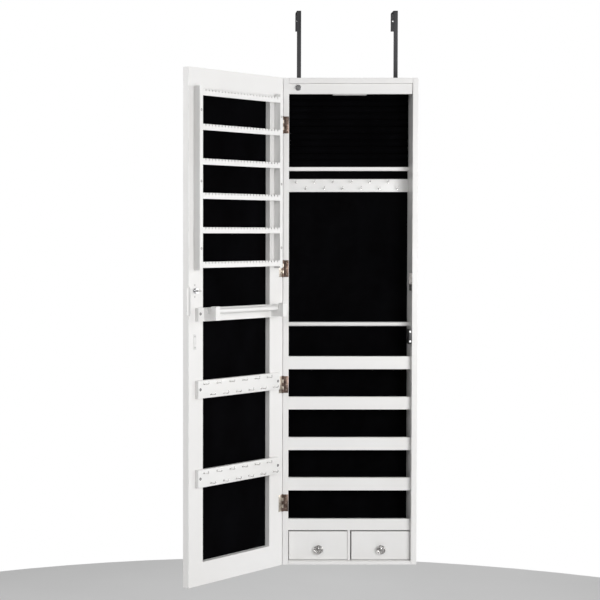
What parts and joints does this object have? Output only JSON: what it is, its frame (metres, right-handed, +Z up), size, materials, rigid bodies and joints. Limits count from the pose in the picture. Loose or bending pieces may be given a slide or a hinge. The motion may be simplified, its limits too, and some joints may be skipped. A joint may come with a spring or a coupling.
{
  "type": "jewelry armoire",
  "caption": "Over-the-door jewelry armoire: shallow white cabinet with a mirrored hinged door, earring rack, hook strips, ring cushion, velvet-lined shelves and small drawers.",
  "frame": {"origin": "on the vertical centre line of the cabinet's flat back face, 600 mm below its top edge", "axes": "+Z up, -Y the front (the side that the door covers), +X to the right as seen from the front"},
  "size_m": [0.5817, 0.3668, 1.3825],
  "materials": {
    "white_paint": "satin white paint on fibreboard",
    "velvet": "black velvet",
    "mirror_glass": "silvered glass",
    "hinge_bronze": "antique bronze plating",
    "hanger_steel": "grey zinc-plated steel",
    "chrome": "polished",
    "dark_steel": "satin",
    "white_plastic": "moulded, semi-gloss",
    "crystal": "clear faceted"
  },
  "bodies": {
    "cabinet": {"side_panel_left": "white_paint", "side_panel_right": "white_paint", "top_panel": "white_paint", "bottom_panel": "white_paint", "back_board": "velvet", "header_rail": "white_paint", "ring_cushion": "velvet", "cushion_ledge": "white_paint", "necklace_hook_strip": "white_paint", "scarf_rod": "white_paint", "shelf_lip_1": "white_paint", "shelf_lip_2": "white_paint", "shelf_lip_3": "white_paint", "shelf_lip_4": "white_paint", "shelf_lip_5": "white_paint", "shelf_board_1": "velvet", "shelf_board_2": "velvet", "shelf_board_3": "velvet", "shelf_board_4": "velvet", "shelf_board_5": "velvet", "drawer_divider": "white_paint", "lamp_housing": "white_plastic", "switch_bezel": "chrome", "hanger_left": "hanger_steel", "hanger_right": "hanger_steel", "hinge_cabinet_leaf_1": "hinge_bronze", "hinge_cabinet_leaf_2": "hinge_bronze", "hinge_cabinet_leaf_3": "hinge_bronze", "hinge_cabinet_leaf_4": "hinge_bronze", "lock_strike": "dark_steel", "magnetic_catch": "dark_steel"},
    "door": {"door_frame": "white_paint", "door_backing": "velvet", "mirror": "mirror_glass", "hinge_door_leaf_1": "hinge_bronze", "hinge_door_leaf_2": "hinge_bronze", "hinge_door_leaf_3": "hinge_bronze", "hinge_door_leaf_4": "hinge_bronze", "rack_side_hinge": "white_paint", "rack_side_free": "white_paint", "rack_rail_1": "white_paint", "rack_rail_2": "white_paint", "rack_rail_3": "white_paint", "rack_rail_4": "white_paint", "rack_rail_5": "white_paint", "rack_rail_6": "white_paint", "hook_strip_lower": "white_paint", "hook_strip_upper": "white_paint", "bracelet_bar_bracket": "white_paint", "bracelet_rod": "white_paint", "lock_body": "chrome", "catch_plate": "dark_steel"},
    "drawer_left": {"drawer_left_front": "white_paint", "drawer_left_box": "white_paint", "drawer_left_knob": "crystal"},
    "drawer_right": {"drawer_right_front": "white_paint", "drawer_right_box": "white_paint", "drawer_right_knob": "crystal"},
    "lock": {"lock_cam": "dark_steel"},
    "switch": {"switch_button": "white_plastic"}
  },
  "joints": [
    {"name": "door_hinge", "type": "hinge", "parent": "cabinet", "child": "door", "pos_m": [-0.1669, -0.079, 0], "axis": [0, 0, -1], "range_deg": [-135, 45]},
    {"name": "drawer_left_slide", "type": "slide", "parent": "cabinet", "child": "drawer_left", "axis": [0, -1, 0], "range_m": [0, 0.045]},
    {"name": "drawer_right_slide", "type": "slide", "parent": "cabinet", "child": "drawer_right", "axis": [0, -1, 0], "range_m": [0, 0.045]},
    {"name": "lock_turn", "type": "hinge", "parent": "door", "child": "lock", "pos_m": [-0.38851, -0.29919, 0.0835], "axis": [0.7071, -0.7071, 0], "range_deg": [0, 90]},
    {"name": "switch_press", "type": "slide", "parent": "cabinet", "child": "switch", "axis": [0, 1, 0], "range_m": [0, 0.002], "stiffness_N_per_m": 300}
  ]
}
